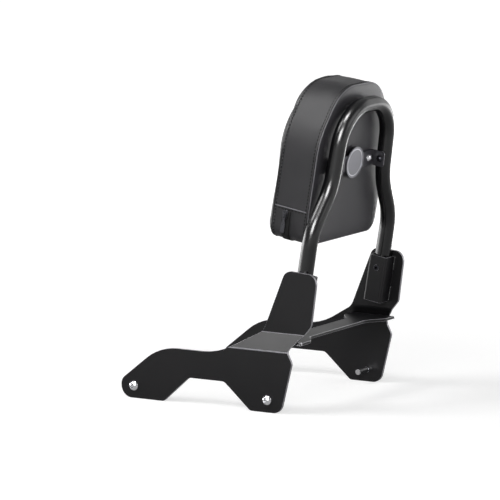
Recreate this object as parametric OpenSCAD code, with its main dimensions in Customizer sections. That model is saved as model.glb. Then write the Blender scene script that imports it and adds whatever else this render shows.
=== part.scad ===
// Detachable sissy bar: two folded side plates, a bent tube hoop and a padded backrest.
// Millimetres. +X is the bike's right, +Y is forwards, +Z is up.
// The part stands on the lower edges of its plates, and the origin is on that ground, under the middle
// of the outer box. Plate outlines are drawn from the rear corner of the upper fold, at y = 0.

/* [Side plates] */
// Clear width between the lower parts of the two plates, where the fender struts go
strut_gap = 270; // [240:1:300]
// Thickness of the side plate steel
plate_t = 4; // [3:0.5:5]
// How far each plate steps outwards between its two folds
fold_out = 17; // [10:1:24]
// Inside radius of the folds
fold_r = 4; // [2:0.5:6]
// Height of the upper fold above the ground
upper_fold_z = 110; // [106:1:116]
// Height of the lower fold above the ground
lower_fold_z = 86; // [80:1:90]
// Height of the long top edge of the lower part
top_edge_z = 76.5; // [70:0.5:79]
// Forward reach of the nose ahead of the fold's rear corner
nose_y = 287.5; // [280:0.5:310]
// Height of the notch on the underside
notch_z = 37; // [28:1:44]
// Rear end of the notch's flat
notch_rear_y = 118; // [112:1:130]
// Front end of the notch's flat
notch_front_y = 175.5; // [160:0.5:185]
// Slope of the notch's two ends, from the ground
notch_slope = 41.3; // [38:0.1:60]
// Height of the tongue's front corner above the upper fold
tongue_h = 88; // [86:1:100]
// Forward place of the tongue's front corner
tongue_front_y = 28.5; // [26:0.5:36]
// Forward place of the tongue's rear corner
tongue_rear_y = -22.5; // [-30:0.5:-20]

/* [Strut bolts] */
// Distance between the two bolts of a side
bolt_pitch = 218.5; // [200:0.5:225]
// Distance from the nose's tip back to the front bolt
bolt_setback = 20; // [17:0.5:24]
// Height of the bolts above the ground
bolt_z = 17; // [15:0.5:20]
// Diameter of the strut bolts
bolt_d = 8; // [6:1:10]
// Length of the bolt that stands out behind the plate
bolt_reach = 25; // [15:1:26]

/* [Hoop] */
// Outside diameter of the hoop tube
tube_d = 22; // [19:0.5:25]
// Wall of the hoop tube
tube_wall = 2; // [1.5:0.25:3]
// Rearward lean of the hoop, from upright
lean = 9.5; // [6:0.5:12]
// Forward place of the hoop's axis at the height of the upper fold
hoop_y = 19.3; // [16:0.1:22]
// Distance up the lean to the hoop's foot
foot_u = 19; // [17:1:30]
// Distance up the lean to the outer bend of each leg
hip_u = 143; // [138:1:150]
// Distance up the lean to the inner bend of each leg
waist_u = 201; // [196:1:206]
// Sideways place of the leg's axis at the inner bend
waist_x = 70.6; // [66:0.1:76]
// Distance up the lean to the axis of the top bar
top_u = 313; // [300:1:330]
// Sideways place of the leg's axis at the height of the top bar
top_x = 63; // [60:0.5:70]
// Bend radius of the leg's outer bend
hip_r = 73; // [55:1:80]
// Bend radius of the leg's inner bend
waist_r = 90; // [60:1:95]
// Bend radius of the two top corners
top_r = 57; // [40:1:58]

/* [Sleeves] */
// Wall of the folded channel that holds each leg
sleeve_wall = 2.5; // [2:0.25:4]
// Length of the channel along the leg
sleeve_len = 66.5; // [60:0.5:72]
// Distance up the lean to the channel's lower end
sleeve_u = 15; // [13:1:24]
// Diameter of the set screw
set_d = 8; // [6:1:10]
// Distance of the set screw below the channel's upper end
set_drop = 17.5; // [12:0.5:24]

/* [Cross brace] */
// Width of the brace's narrow middle
brace_w = 32; // [24:1:40]
// Width of the brace's flared ends
brace_end_w = 68; // [56:1:74]
// Forward place of the brace's middle line
brace_y = 33; // [30:1:38]
// Thickness of the brace
brace_t = 4; // [3:0.5:5]
// Distance of the brace's top face below the upper fold
brace_drop = 10; // [8:0.5:13]

/* [Cross strip] */
// Height of the strip between the legs
strip_h = 22; // [18:0.5:24]
// Thickness of the strip
strip_t = 2.5; // [2:0.25:3]
// Distance up the lean to the strip's middle
strip_u = 228; // [226:1:240]
// How far the strip's middle steps back from the pad
strip_step = 2; // [1:0.25:4]
// Length of the strip's raised middle
strip_mid = 50; // [48:1:54]
// Distance from the strip's folded ends to the pad screws
pad_screw_in = 12.5; // [11.5:0.5:15.5]

/* [Badge] */
// Diameter of the badge disc
badge_d = 45; // [40:0.5:48]
// Thickness of the badge disc
badge_t = 2; // [1.5:0.25:3]

/* [Backrest pad] */
// Half width of the pad's outline
pad_x = 94.5; // [88:0.5:98]
// Distance up the lean to the pad's lower edge
pad_low_u = 120.5; // [118:0.5:126]
// Distance up the lean to the pad's upper edge
pad_top_u = 338.5; // [330:0.5:346]
// Distance up the lean where the pad's sides turn inwards
pad_turn_u = 269; // [262:1:276]
// Half width of the flat at the top of the outline
pad_crown_x = 52.6; // [48:0.2:58]
// Distance from the hoop's plane forward to the pad's back face
pad_back = 13.5; // [13.5:0.1:14.5]
// Thickness of the stiff shell at the pad's back
board_t = 6; // [5:0.5:8]
// Width of the side gusset between its two seams
gusset_w = 55; // [45:1:60]
// How far the front panel stands ahead of the front seam
pad_puff = 16; // [10:1:18]

/* [Zip] */
// Width of the zip's tape
zip_w = 12.5; // [9:0.5:14]
// Distance from the pad's back face forward to the zip's middle
zip_off = 36.5; // [30:0.5:38]
// Distance up the lean to the zip's upper ends
zip_u = 163; // [158:1:168]

/* [Hidden] */
$fn = 48;

// Turn of each short edge along a rounded corner, in degrees
arc_step = 7.5;
// Gap at which a piece lies on the piece that carries it
seat_gap = 0.2;
// Radial room of a screw in the hole that it passes through
screw_room = 0.25;
// Radial room of a screw in the thread that holds it
thread_room = 0.05;
// How much smaller in radius a thread's crest is than the bolt's plain neck
thread_fall = 0.05;
// Small length by which a cut runs past a face
past = 1;

tube_r = tube_d / 2;
tongue_x = strut_gap / 2 - fold_out;
leg_x = tongue_x - seat_gap - tube_r;
plate_x = strut_gap / 2;
front_bolt_y = nose_y - bolt_setback;
rear_bolt_y = front_bolt_y - bolt_pitch;
rear_y = hoop_y - top_u * sin(lean) - tube_r;
origin_y = (nose_y + rear_y) / 2;

function unit(v) = v / norm(v);

// Half of the angle between the two edges that meet at b
function half_angle(a, b, c) = acos(max(-1, min(1, unit(a - b) * unit(c - b)))) / 2;

// Centre of a fillet of radius r in the corner a, b, c
function fillet_centre(a, b, c, r) = b + unit(unit(a - b) + unit(c - b)) * r / sin(half_angle(a, b, c));

// Distance from the corner to the ends of its fillet
function fillet_reach(a, b, c, r) = r / tan(half_angle(a, b, c));

function bearing(p, c) = atan2(p.y - c.y, p.x - c.x);
function wrap(t) = t > 180 ? t - 360 : t < -180 ? t + 360 : t;

// Start bearing and signed turn of a fillet, seen from its centre
function fillet_turn(a, b, c, r) = let (
    m = fillet_centre(a, b, c, r),
    t = fillet_reach(a, b, c, r),
    s = bearing(b + unit(a - b) * t, m),
    e = bearing(b + unit(c - b) * t, m)
  ) [s, wrap(e - s)];

// Points along the fillet of a corner
function corner(a, b, c, r) = let (
    m = fillet_centre(a, b, c, r),
    t = fillet_turn(a, b, c, r),
    n = max(2, ceil(abs(t[1]) / arc_step))
  ) [for (k = [0:n]) m + r * [cos(t[0] + t[1] * k / n), sin(t[0] + t[1] * k / n)]];

function xy(p) = [p.x, p.y];

// Closed outline through corners [x, y, radius]
function rounded(p) = let (n = len(p)) [
    for (i = [0:n - 1])
      each p[i].z == 0 ? [xy(p[i])]
        : corner(xy(p[(i + n - 1) % n]), xy(p[i]), xy(p[(i + 1) % n]), p[i].z)
  ];

// Places a piece from the fold's corner in the part's own frame
module placed() {
  translate([0, -origin_y, 0]) children();
}

// Frame of the hoop: X sideways, Y square to the hoop and forwards, Z up the lean
module on_lean() {
  placed() translate([0, hoop_y, upper_fold_z]) rotate([lean, 0, 0]) children();
}

// Hoop
// Corners of the tube's axis on the right side, from foot to top, as [x, u, bend radius]
function leg_corners() = [
    [leg_x, foot_u, 0],
    [leg_x, hip_u, hip_r],
    [waist_x, waist_u, waist_r],
    [top_x, top_u, top_r]
  ];
function flipped(p) = [-p.x, p.y, p.z];
function hoop_corners() = let (c = leg_corners()) concat(c, [for (i = [3:-1:0]) flipped(c[i])]);

// Radius that the tube gains in its bends, and the length by which straights run into them
swell = 0.05;
lap = 0.4;

// Round bar along corners in the XY plane, its two ends run on by a length
module bent_bar(p, r, extra) {
  n = len(p);
  reach = [for (i = [0:n - 1]) i == 0 || i == n - 1 ? 0
      : fillet_reach(xy(p[i - 1]), xy(p[i]), xy(p[i + 1]), p[i].z)];
  for (i = [0:n - 2]) {
    a = xy(p[i]);
    d = unit(xy(p[i + 1]) - a);
    before = i == 0 ? extra : lap;
    after = i == n - 2 ? extra : lap;
    start = a + d * (reach[i] - before);
    run = norm(xy(p[i + 1]) - a) - reach[i] - reach[i + 1] + before + after;
    translate([start.x, start.y, 0]) rotate([0, 0, atan2(d.y, d.x)]) rotate([0, 90, 0])
      cylinder(h = run, r = r);
  }
  for (i = [1:n - 2]) {
    m = fillet_centre(xy(p[i - 1]), xy(p[i]), xy(p[i + 1]), p[i].z);
    t = fillet_turn(xy(p[i - 1]), xy(p[i]), xy(p[i + 1]), p[i].z);
    translate([m.x, m.y, 0]) rotate([0, 0, min(t[0], t[0] + t[1])])
      rotate_extrude(angle = abs(t[1])) translate([p[i].z, 0]) circle(r + swell);
  }
}

// Sideways place of the leg's axis on its upper straight stretch
function leg_at(u) = waist_x + (top_x - waist_x) * (u - waist_u) / (top_u - waist_u);
leg_tilt = atan((waist_x - top_x) / (top_u - waist_u));
top_bend = fillet_centre([waist_x, waist_u], [top_x, top_u], [-top_x, top_u], top_r);

// Sideways place of the tube's inner side, on that stretch or in the top bend
function inner_x(u) = u - top_bend.y <= (top_r - tube_r) * sin(leg_tilt) ? leg_at(u) - tube_r / cos(leg_tilt)
    : top_bend.x + sqrt(max(0, pow(top_r - tube_r, 2) - pow(u - top_bend.y, 2)));
set_u = sleeve_u + sleeve_len - set_drop;

module hoop_tube() {
  color([0.07, 0.07, 0.08])
  on_lean() difference() {
    rotate([90, 0, 0]) bent_bar(hoop_corners(), tube_r, 0);
    rotate([90, 0, 0]) bent_bar(hoop_corners(), tube_r - tube_wall, past);
    for (side = [-1, 1]) {
      // Holes for the set screws, in the inner side of each leg
      translate([side * (leg_x - tube_r / 2), 0, set_u]) rotate([0, -90 * side, 0])
        cylinder(h = tube_r, r = set_d / 2 + screw_room);
      // Threads for the strip's screws
      on_tab(side) translate([0, 0, -past]) cylinder(h = tube_r / 2 + past, r = strip_screw_d / 2 + thread_room);
    }
  }
}

// Screws
// Button head with a hexagon socket, on a plain shank that points down Z
module button_screw(d, head_d, head_h, len, socket) {
  crown = (head_d * head_d / 4 + head_h * head_h) / (2 * head_h);
  difference() {
    union() {
      intersection() {
        translate([0, 0, head_h - crown]) sphere(crown);
        cylinder(h = head_h, r = head_d / 2);
      }
      translate([0, 0, -len]) cylinder(h = len + head_h / 4, r = d / 2);
    }
    translate([0, 0, head_h * 0.45]) cylinder(h = head_h, r = socket / sqrt(3), $fn = 6);
  }
}

// Cross strip
strip_screw_d = 5;
strip_tab_end = -7;
// Rear face of the strip where it lies on the pad's back
strip_rear = pad_back - seat_gap - strip_t;
tab_low = inner_x(strip_u - strip_h / 2);
tab_high = inner_x(strip_u + strip_h / 2);
tab_tilt = atan((tab_low - tab_high) / strip_h);
tab_x = (tab_low + tab_high) / 2 - seat_gap / cos(tab_tilt);
tab_corner = 4;
pad_screw_d = 6;
pad_screw_head = 10.5;
pad_screw_x = tab_x - pad_screw_in;
// Length of the step, which ends clear of the pad screw's head
strip_ramp = pad_screw_x - pad_screw_head / 2 - strip_t - strip_mid / 2;

// Face of the tab on one side: Z points to the leg's axis, X up the lean
module on_tab(side) {
  translate([side * tab_x, 0, strip_u]) rotate([0, -tab_tilt * side, 0])
    rotate([0, 90 * side, 0]) children();
}

// Half of the strip's path, from the middle outwards, at its front face
function strip_front(x) = x <= strip_mid / 2 ? -strip_step
    : x >= strip_mid / 2 + strip_ramp ? 0
    : -strip_step * (1 - (x - strip_mid / 2) / strip_ramp);

module cross_strip() {
  stops = [0, strip_mid / 2, strip_mid / 2 + strip_ramp, tab_x - strip_t / 2];
  xs = concat([for (i = [3:-1:1]) -stops[i]], [for (i = [1:3]) stops[i]]);
  front = [for (x = xs) [x, pad_back - seat_gap + strip_front(abs(x))]];
  rear = [for (i = [len(xs) - 1:-1:0]) [xs[i], pad_back - seat_gap - strip_t + strip_front(abs(xs[i]))]];
  tab_len = pad_back - seat_gap - strip_tab_end;
  color([0.35, 0.35, 0.37])
  on_lean() difference() {
    union() {
      translate([0, 0, strip_u - strip_h / 2]) linear_extrude(strip_h) polygon(concat(front, rear));
      for (side = [-1, 1])
        translate([side * tab_x, 0, strip_u]) rotate([0, -tab_tilt * side, 0])
          rotate([0, -90 * side, 0]) linear_extrude(strip_t)
            polygon(rounded([
              [-strip_h / 2, strip_tab_end, tab_corner],
              [strip_h / 2, strip_tab_end, tab_corner],
              [strip_h / 2, pad_back - seat_gap, 0],
              [-strip_h / 2, pad_back - seat_gap, 0]
            ]));
    }
    for (side = [-1, 1]) {
      translate([side * pad_screw_x, pad_back + past, strip_u]) rotate([90, 0, 0])
        cylinder(h = strip_t + 2 * past + strip_step, r = pad_screw_d / 2 + screw_room);
      on_tab(side) translate([0, 0, -strip_t - past])
        cylinder(h = strip_t + 2 * past, r = strip_screw_d / 2 + screw_room);
    }
  }
}

module strip_screw(side) {
  color([0.1, 0.1, 0.11])
  on_lean() on_tab(side) translate([0, 0, -strip_t]) rotate([180, 0, 0])
    button_screw(strip_screw_d, 9.5, 2.8, strip_t + seat_gap + 4.5, 3);
}

// Badge: a turned disc with a raised rim and one concentric ring, left bare of any lettering
module badge_disc() {
  face = strip_rear - strip_step;
  rim = 2.2;
  groove = 0.5;
  color([0.45, 0.45, 0.47])
  on_lean() translate([0, face, strip_u]) rotate([90, 0, 0]) rotate_extrude()
    polygon([
      [0, 0], [badge_d / 2, 0], [badge_d / 2, badge_t - 0.4], [badge_d / 2 - 0.4, badge_t],
      [badge_d / 2 - rim, badge_t], [badge_d / 2 - rim, badge_t - groove],
      [badge_d / 2 - 2 * rim, badge_t - groove], [badge_d / 2 - 2 * rim, badge_t - groove / 2],
      [0, badge_t - groove / 2]
    ]);
}

// Pad
pad_corner_r = 24;
pad_shoulder_r = 90;
pad_crown_r = 60;
pad_mid_u = (pad_low_u + pad_top_u) / 2;
// Distance forward from the hoop's plane to the two seams of the gusset
rear_seam = pad_back + 2.5;
front_seam = rear_seam + gusset_w;
// Inset of the board's front part, which lies in the cushion's recess
board_inset = 4;

// Sections of the board from its back face, round the rolled rim that meets the rear seam, to its front
function board_profile() = [
    [pad_back, 11],
    [pad_back + 0.25, 6],
    [pad_back + 0.8, 2.8],
    [pad_back + 1.5, 1],
    [rear_seam - seat_gap, 0.4],
    [rear_seam - seat_gap, board_inset + seat_gap],
    [pad_back + board_t, board_inset + seat_gap]
  ];

function pad_half() = [
    [pad_x, pad_low_u, pad_corner_r],
    [pad_x, pad_turn_u, pad_shoulder_r],
    [pad_crown_x, pad_top_u, pad_crown_r]
  ];
function pad_corners() = let (h = pad_half()) concat(h, [for (i = [2:-1:0]) flipped(h[i])]);
pad_outline = rounded(pad_corners());

// The pad's outline drawn in by a distance, as a scaled copy about its middle
function drawn_in(d) = let (
    sx = 1 - d / pad_x,
    su = 1 - d / ((pad_top_u - pad_low_u) / 2)
  ) [for (p = pad_outline) [p.x * sx, pad_mid_u + (p.y - pad_mid_u) * su]];

// Sections of the cushion from the floor of its recess, round the gusset, to the front, as [forward, inset]
function cushion_profile() = [
    [pad_back + board_t + seat_gap, board_inset],
    [rear_seam, board_inset],
    [rear_seam, 0.4],
    [rear_seam + 0.8, 0],
    [rear_seam + gusset_w * 0.25, -1.4],
    [rear_seam + gusset_w * 0.5, -1.9],
    [rear_seam + gusset_w * 0.75, -1.4],
    [front_seam, 0],
    [front_seam + pad_puff * 0.38, 1.4],
    [front_seam + pad_puff * 0.68, 5],
    [front_seam + pad_puff * 0.86, 12],
    [front_seam + pad_puff * 0.95, 26],
    [front_seam + pad_puff, 55]
  ];

// Closed solid through equal rings of points, with its two ends capped by fans
module skin(rings) {
  n = len(rings[0]);
  m = len(rings);
  mean = function (r) [for (k = [0:2]) [for (p = r) p[k]] * [for (p = r) 1] / n];
  points = concat([for (r = rings) each r], [mean(rings[0]), mean(rings[m - 1])]);
  sides = [for (j = [0:m - 2]) for (i = [0:n - 1]) let (
      a = j * n + i, b = j * n + (i + 1) % n, c = a + n, d = b + n
    ) each [[a, c, b], [b, c, d]]];
  caps = [for (i = [0:n - 1]) each [
      [m * n, i, (i + 1) % n],
      [m * n + 1, (m - 1) * n + (i + 1) % n, (m - 1) * n + i]
    ]];
  polyhedron(points, concat(sides, caps));
}

module pad_cushion() {
  color([0.16, 0.16, 0.17])
  on_lean() skin([for (s = cushion_profile()) [for (p = drawn_in(s[1])) [p.x, s[0], p.y]]]);
}

insert_d = 10;

module pad_board() {
  color([0.2, 0.2, 0.21])
  on_lean() difference() {
    skin([for (s = board_profile()) [for (p = drawn_in(s[1])) [p.x, s[0], p.y]]]);
    for (side = [-1, 1])
      translate([side * pad_screw_x, pad_back + board_t + past, strip_u]) rotate([90, 0, 0])
        cylinder(h = board_t + 2 * past, r = insert_d / 2 + thread_room);
  }
}

module pad_insert(side) {
  color([0.7, 0.65, 0.4])
  on_lean() translate([side * pad_screw_x, pad_back + board_t, strip_u]) rotate([90, 0, 0]) difference() {
    cylinder(h = board_t, r = insert_d / 2);
    translate([0, 0, -past]) cylinder(h = board_t + 2 * past, r = pad_screw_d / 2 + thread_room);
  }
}

module pad_screw(side) {
  color([0.85, 0.85, 0.87])
  on_lean() translate([side * pad_screw_x, strip_rear, strip_u]) rotate([90, 0, 0])
    button_screw(pad_screw_d, pad_screw_head, 3.3, strip_t + seat_gap + board_t - 1, 4);
}

// Zip along the lower gusset, from one side round the bottom to the other
zip_t = 1;
// Points from the highest to the lowest
function by_height(p) = len(p) <= 1 ? p : let (
    pivot = p[floor(len(p) / 2)].y + p[floor(len(p) / 2)].x * -0.001,
    key = function (q) q.y - q.x * 0.001,
    high = [for (q = p) if (key(q) > pivot) q],
    same = [for (q = p) if (key(q) == pivot) q],
    low = [for (q = p) if (key(q) < pivot) q]
  ) concat(by_height(high), same, by_height(low));
// Points of the right half of the zip's line, from its upper end to the middle of the bottom
function zip_half(d) = let (
    o = drawn_in(d),
    side = max([for (p = o) p.x])
  ) concat([[side, zip_u]], by_height([for (p = o) if (p.x > 0 && p.y < zip_u - 2) p]));
function zip_path(d) = let (h = zip_half(d)) concat(h, [for (i = [len(h) - 1:-1:0]) [-h[i].x, h[i].y]]);

module zip_tape() {
  low = zip_path(-1.9 - seat_gap);
  high = zip_path(-1.9 - seat_gap - zip_t);
  f = pad_back + zip_off;
  color([0.1, 0.1, 0.1])
  on_lean() skin([for (i = [0:len(low) - 1]) [
      [low[i].x, f - zip_w / 2, low[i].y],
      [high[i].x, f - zip_w / 2, high[i].y],
      [high[i].x, f + zip_w / 2, high[i].y],
      [low[i].x, f + zip_w / 2, low[i].y]
    ]]);
}

// Outer face of the zip's tape on the left side
zip_face = -(pad_x + (1.9 + seat_gap + zip_t));
slider_l = 12;

module zip_slider() {
  color([0.3, 0.3, 0.3])
  on_lean() translate([zip_face - seat_gap, pad_back + zip_off, zip_u - slider_l / 2 - 1]) rotate([0, -90, 0])
    difference() {
      union() {
        linear_extrude(1.4) polygon(rounded([
          [-slider_l / 2, -3, 1.4], [slider_l / 2, -4.6, 2], [slider_l / 2, 4.6, 2], [-slider_l / 2, 3, 1.4]
        ]));
        translate([-3.5, -1.1, 0]) cube([4.7, 2.2, 3.8]);
      }
      translate([0, past * 2, 2.5]) rotate([90, 0, 0]) cylinder(h = 4 * past, r = 0.8);
    }
}

module zip_pull() {
  hang = 26;
  color([0.35, 0.35, 0.35])
  on_lean() translate([zip_face - seat_gap - 2.5, pad_back + zip_off, zip_u - slider_l / 2 - 1]) rotate([0, -90, 0])
    difference() {
      union() {
        translate([0, 0, -0.5]) linear_extrude(1) difference() {
          polygon(rounded([
            [3, -3, 1.5], [3, 3, 1.5], [-8, 1.8, 2], [-14, 3.2, 2], [-hang, 3.2, 2.5],
            [-hang, -3.2, 2.5], [-14, -3.2, 2], [-8, -1.8, 2]
          ]));
          translate([-5.5, -1.4]) square([7.1, 2.8]);
        }
        translate([0, 2, 0]) rotate([90, 0, 0]) cylinder(h = 4, r = 0.5);
      }
    }
}

// Side plates
// Side view of the right plate, from the tongue's front corner round by the rear, as [y, z, radius]
function plate_outline() = let (
    run = notch_z / tan(notch_slope),
    lobe_r = 17
  ) [
    [tongue_front_y, upper_fold_z + tongue_h, 14],
    [64, upper_fold_z + 1, 20],
    [128, top_edge_z, 100],
    [nose_y - 64, top_edge_z, 80],
    [nose_y, top_edge_z - 51, 14],
    [nose_y, 0, lobe_r],
    [notch_front_y + run, 0, 6],
    [notch_front_y, notch_z, 10],
    [notch_rear_y, notch_z, 10],
    [notch_rear_y - run, 0, 8],
    [rear_bolt_y - 22.4, 0, lobe_r - 1],
    [8.5, lower_fold_z - 14, 8],
    [17, lower_fold_z + 2, 8],
    [-12.5, upper_fold_z + 13, 10],
    [tongue_rear_y, upper_fold_z + tongue_h - 3.5, 14]
  ];

// Section of the plate across the bike: corners of one face, moved sideways from the inner face
function face_corners(off) = let (
    slope = atan2(fold_out, upper_fold_z - lower_fold_z),
    shift = off * tan(slope / 2),
    top = upper_fold_z + tongue_h + 20
  ) [
    [tongue_x + off, top, 0],
    [tongue_x + off, upper_fold_z - (off - plate_t) * tan(slope / 2), off == 0 ? fold_r + plate_t : fold_r],
    [plate_x + off, lower_fold_z - (off - plate_t) * tan(slope / 2), off == 0 ? fold_r : fold_r + plate_t],
    [plate_x + off, -20, 0]
  ];

module plate_blank() {
  inner = face_corners(0);
  outer = face_corners(plate_t);
  section = rounded(concat(outer, [for (i = [3:-1:0]) inner[i]]));
  intersection() {
    translate([0, nose_y + 20, 0]) rotate([90, 0, 0]) linear_extrude(nose_y + 80) polygon(section);
    translate([tongue_x - 20, 0, 0]) rotate([90, 0, 90]) linear_extrude(fold_out + 60) polygon(rounded(plate_outline()));
  }
}

// Side 1 is the right plate, side -1 the left
module on_side(side) {
  if (side > 0) children();
  else mirror([1, 0, 0]) children();
}

module side_plate(side) {
  color([0.12, 0.12, 0.13])
  placed() on_side(side) difference() {
    plate_blank();
    for (y = [front_bolt_y, rear_bolt_y])
      translate([plate_x - past, y, bolt_z]) rotate([0, 90, 0])
        cylinder(h = plate_t + 2 * past, r = bolt_d / 2 + screw_room);
  }
}

module strut_bolt(side, y) {
  tip = bolt_d / 10;
  groove = 1;
  color([0.85, 0.85, 0.87])
  placed() on_side(side) translate([plate_x + plate_t, y, bolt_z]) rotate([0, 90, 0]) {
    button_screw(bolt_d, bolt_d * 1.8, bolt_d * 0.55, plate_t, bolt_d * 0.625);
    // The groove where the thread runs out behind the plate
    translate([0, 0, -plate_t - 2 * groove]) cylinder(h = 3 * groove, r = bolt_d * 0.41);
    translate([0, 0, -plate_t - bolt_reach + tip])
      cylinder(h = bolt_reach - tip - groove, r = bolt_d / 2 - thread_fall);
    translate([0, 0, -plate_t - bolt_reach])
      cylinder(h = tip, r1 = bolt_d / 2 - thread_fall - tip, r2 = bolt_d / 2 - thread_fall);
  }
}

// Sleeve: a folded channel whose open side lies on the tongue
sleeve_web_x = tongue_x - tube_d - 2 * seat_gap - sleeve_wall;
sleeve_half = tube_r + 0.3 + sleeve_wall;

module sleeve(side) {
  inner_half = tube_r + 0.3;
  bend = sleeve_wall + 1;
  color([0.1, 0.1, 0.11])
  on_lean() on_side(side) difference() {
    translate([0, 0, sleeve_u]) linear_extrude(sleeve_len) polygon(concat(
      [[tongue_x, -sleeve_half]],
      corner([tongue_x, -sleeve_half], [sleeve_web_x, -sleeve_half], [sleeve_web_x, sleeve_half], bend),
      corner([sleeve_web_x, -sleeve_half], [sleeve_web_x, sleeve_half], [tongue_x, sleeve_half], bend),
      [[tongue_x, sleeve_half], [tongue_x, inner_half]],
      corner([tongue_x, inner_half], [sleeve_web_x + sleeve_wall, inner_half],
        [sleeve_web_x + sleeve_wall, -inner_half], 1),
      corner([sleeve_web_x + sleeve_wall, inner_half], [sleeve_web_x + sleeve_wall, -inner_half],
        [tongue_x, -inner_half], 1),
      [[tongue_x, -inner_half]]
    ));
    translate([sleeve_web_x - past, 0, set_u]) rotate([0, 90, 0])
      cylinder(h = sleeve_wall + 2 * past, r = set_d / 2 + thread_room);
  }
}

// Set screw: a headless screw through the sleeve's web into the hole in the leg
module set_screw(side) {
  len = sleeve_wall + tube_wall + 4;
  chamfer = 0.8;
  color([0.3, 0.3, 0.32])
  on_lean() on_side(side) translate([sleeve_web_x - 1, 0, set_u]) rotate([0, 90, 0]) difference() {
    rotate_extrude() polygon([
      [0, 0], [set_d / 2 - chamfer / 2, 0], [set_d / 2, chamfer / 2], [set_d / 2, len - chamfer],
      [set_d / 2 - chamfer, len], [0, len]
    ]);
    translate([0, 0, -past]) cylinder(h = 4 + past, r = set_d / 2 / sqrt(3), $fn = 6);
  }
}

// Cross brace: a flat bar over the fender, flared at both ends, mitred to the sloped parts and welded there
module cross_brace() {
  half_x = plate_x + 5;
  top = upper_fold_z - brace_drop;
  outline = rounded([
    [half_x, brace_y + brace_end_w / 2, 0], [half_x - 38, brace_y + brace_end_w / 2, 14],
    [half_x - 62, brace_y + brace_w / 2, 24], [-half_x + 62, brace_y + brace_w / 2, 24],
    [-half_x + 38, brace_y + brace_end_w / 2, 14], [-half_x, brace_y + brace_end_w / 2, 0],
    [-half_x, brace_y - brace_end_w / 2, 0], [-half_x + 38, brace_y - brace_end_w / 2, 14],
    [-half_x + 62, brace_y - brace_w / 2, 24], [half_x - 62, brace_y - brace_w / 2, 24],
    [half_x - 38, brace_y - brace_end_w / 2, 14], [half_x, brace_y - brace_end_w / 2, 0]
  ]);
  inner = face_corners(0);
  room = concat(inner, [for (i = [3:-1:0]) flipped(inner[i])]);
  color([0.09, 0.09, 0.1])
  placed() intersection() {
    translate([0, 0, top - brace_t]) linear_extrude(brace_t) polygon(outline);
    translate([0, brace_y + brace_end_w, 0]) rotate([90, 0, 0]) linear_extrude(2 * brace_end_w)
      polygon(rounded(room));
  }
}

hoop_tube();
cross_strip();
strip_screw(-1);  // left_strip_screw
strip_screw(1);  // right_strip_screw
badge_disc();
pad_cushion();
pad_board();
pad_insert(-1);  // left_pad_insert
pad_insert(1);  // right_pad_insert
pad_screw(-1);  // left_pad_screw
pad_screw(1);  // right_pad_screw
zip_tape();
zip_slider();
zip_pull();
side_plate(-1);  // left_side_plate
side_plate(1);  // right_side_plate
sleeve(-1);  // left_sleeve
sleeve(1);  // right_sleeve
set_screw(-1);  // left_set_screw
set_screw(1);  // right_set_screw
cross_brace();
strut_bolt(-1, front_bolt_y);  // left_front_bolt
strut_bolt(-1, rear_bolt_y);  // left_rear_bolt
strut_bolt(1, front_bolt_y);  // right_front_bolt
strut_bolt(1, rear_bolt_y);  // right_rear_bolt
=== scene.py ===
import math

import bmesh
import bpy
import numpy as np
from mathutils import Matrix, Vector
from mathutils.bvhtree import BVHTree


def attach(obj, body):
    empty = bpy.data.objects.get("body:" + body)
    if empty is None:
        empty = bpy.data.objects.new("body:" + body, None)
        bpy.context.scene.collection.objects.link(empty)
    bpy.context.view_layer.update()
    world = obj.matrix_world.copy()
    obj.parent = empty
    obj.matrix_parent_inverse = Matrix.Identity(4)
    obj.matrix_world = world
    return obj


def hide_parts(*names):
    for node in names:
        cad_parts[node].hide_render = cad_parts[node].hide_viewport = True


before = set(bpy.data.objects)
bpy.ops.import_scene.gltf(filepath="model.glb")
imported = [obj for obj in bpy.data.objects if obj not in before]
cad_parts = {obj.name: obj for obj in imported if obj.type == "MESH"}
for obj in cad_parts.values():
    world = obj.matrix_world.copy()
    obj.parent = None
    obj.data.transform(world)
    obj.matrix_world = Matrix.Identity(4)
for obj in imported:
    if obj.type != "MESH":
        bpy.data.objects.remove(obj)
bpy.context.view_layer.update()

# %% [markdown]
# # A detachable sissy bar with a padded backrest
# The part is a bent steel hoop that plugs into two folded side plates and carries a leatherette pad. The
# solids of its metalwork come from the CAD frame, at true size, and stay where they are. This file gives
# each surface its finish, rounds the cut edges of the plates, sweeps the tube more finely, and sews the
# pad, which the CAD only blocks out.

SIDE_NAMES = {-1: "left", 1: "right"}

# %% [markdown]
# ## One place for colour, and two short helpers
# Colours are written as sRGB hex values, the way a paint chart or a picture editor gives them. Blender's
# shaders work in linear light, so one function turns the hex value into linear numbers, and nothing else
# does. Two more helpers put an object into the scene and shade a mesh smoothly.

# %% Colour and object helpers
def linear(hex_colour):
    """Turns an sRGB hex string into linear RGBA."""
    values = [int(hex_colour[i:i + 2], 16) / 255 for i in (1, 3, 5)]
    return [v / 12.92 if v <= 0.04045 else ((v + 0.055) / 1.055) ** 2.4 for v in values] + [1.0]


def placed(name, data):
    """Makes an object from mesh, lamp or camera data and puts it into the scene."""
    obj = bpy.data.objects.new(name, data)
    bpy.context.scene.collection.objects.link(obj)
    return obj


def smooth(mesh):
    """Shades every face of a mesh smoothly."""
    for polygon in mesh.polygons:
        polygon.use_smooth = True


# %% [markdown]
# ## The camera
# The photograph was taken with a long lens, from behind the bike's left side and a little above. Its place
# was worked out from points on the plates, the bolts and the hoop, so it is set directly: two unit vectors
# for right and up, a place in metres, and a focal length given in pixels of a 500-pixel frame.

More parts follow.
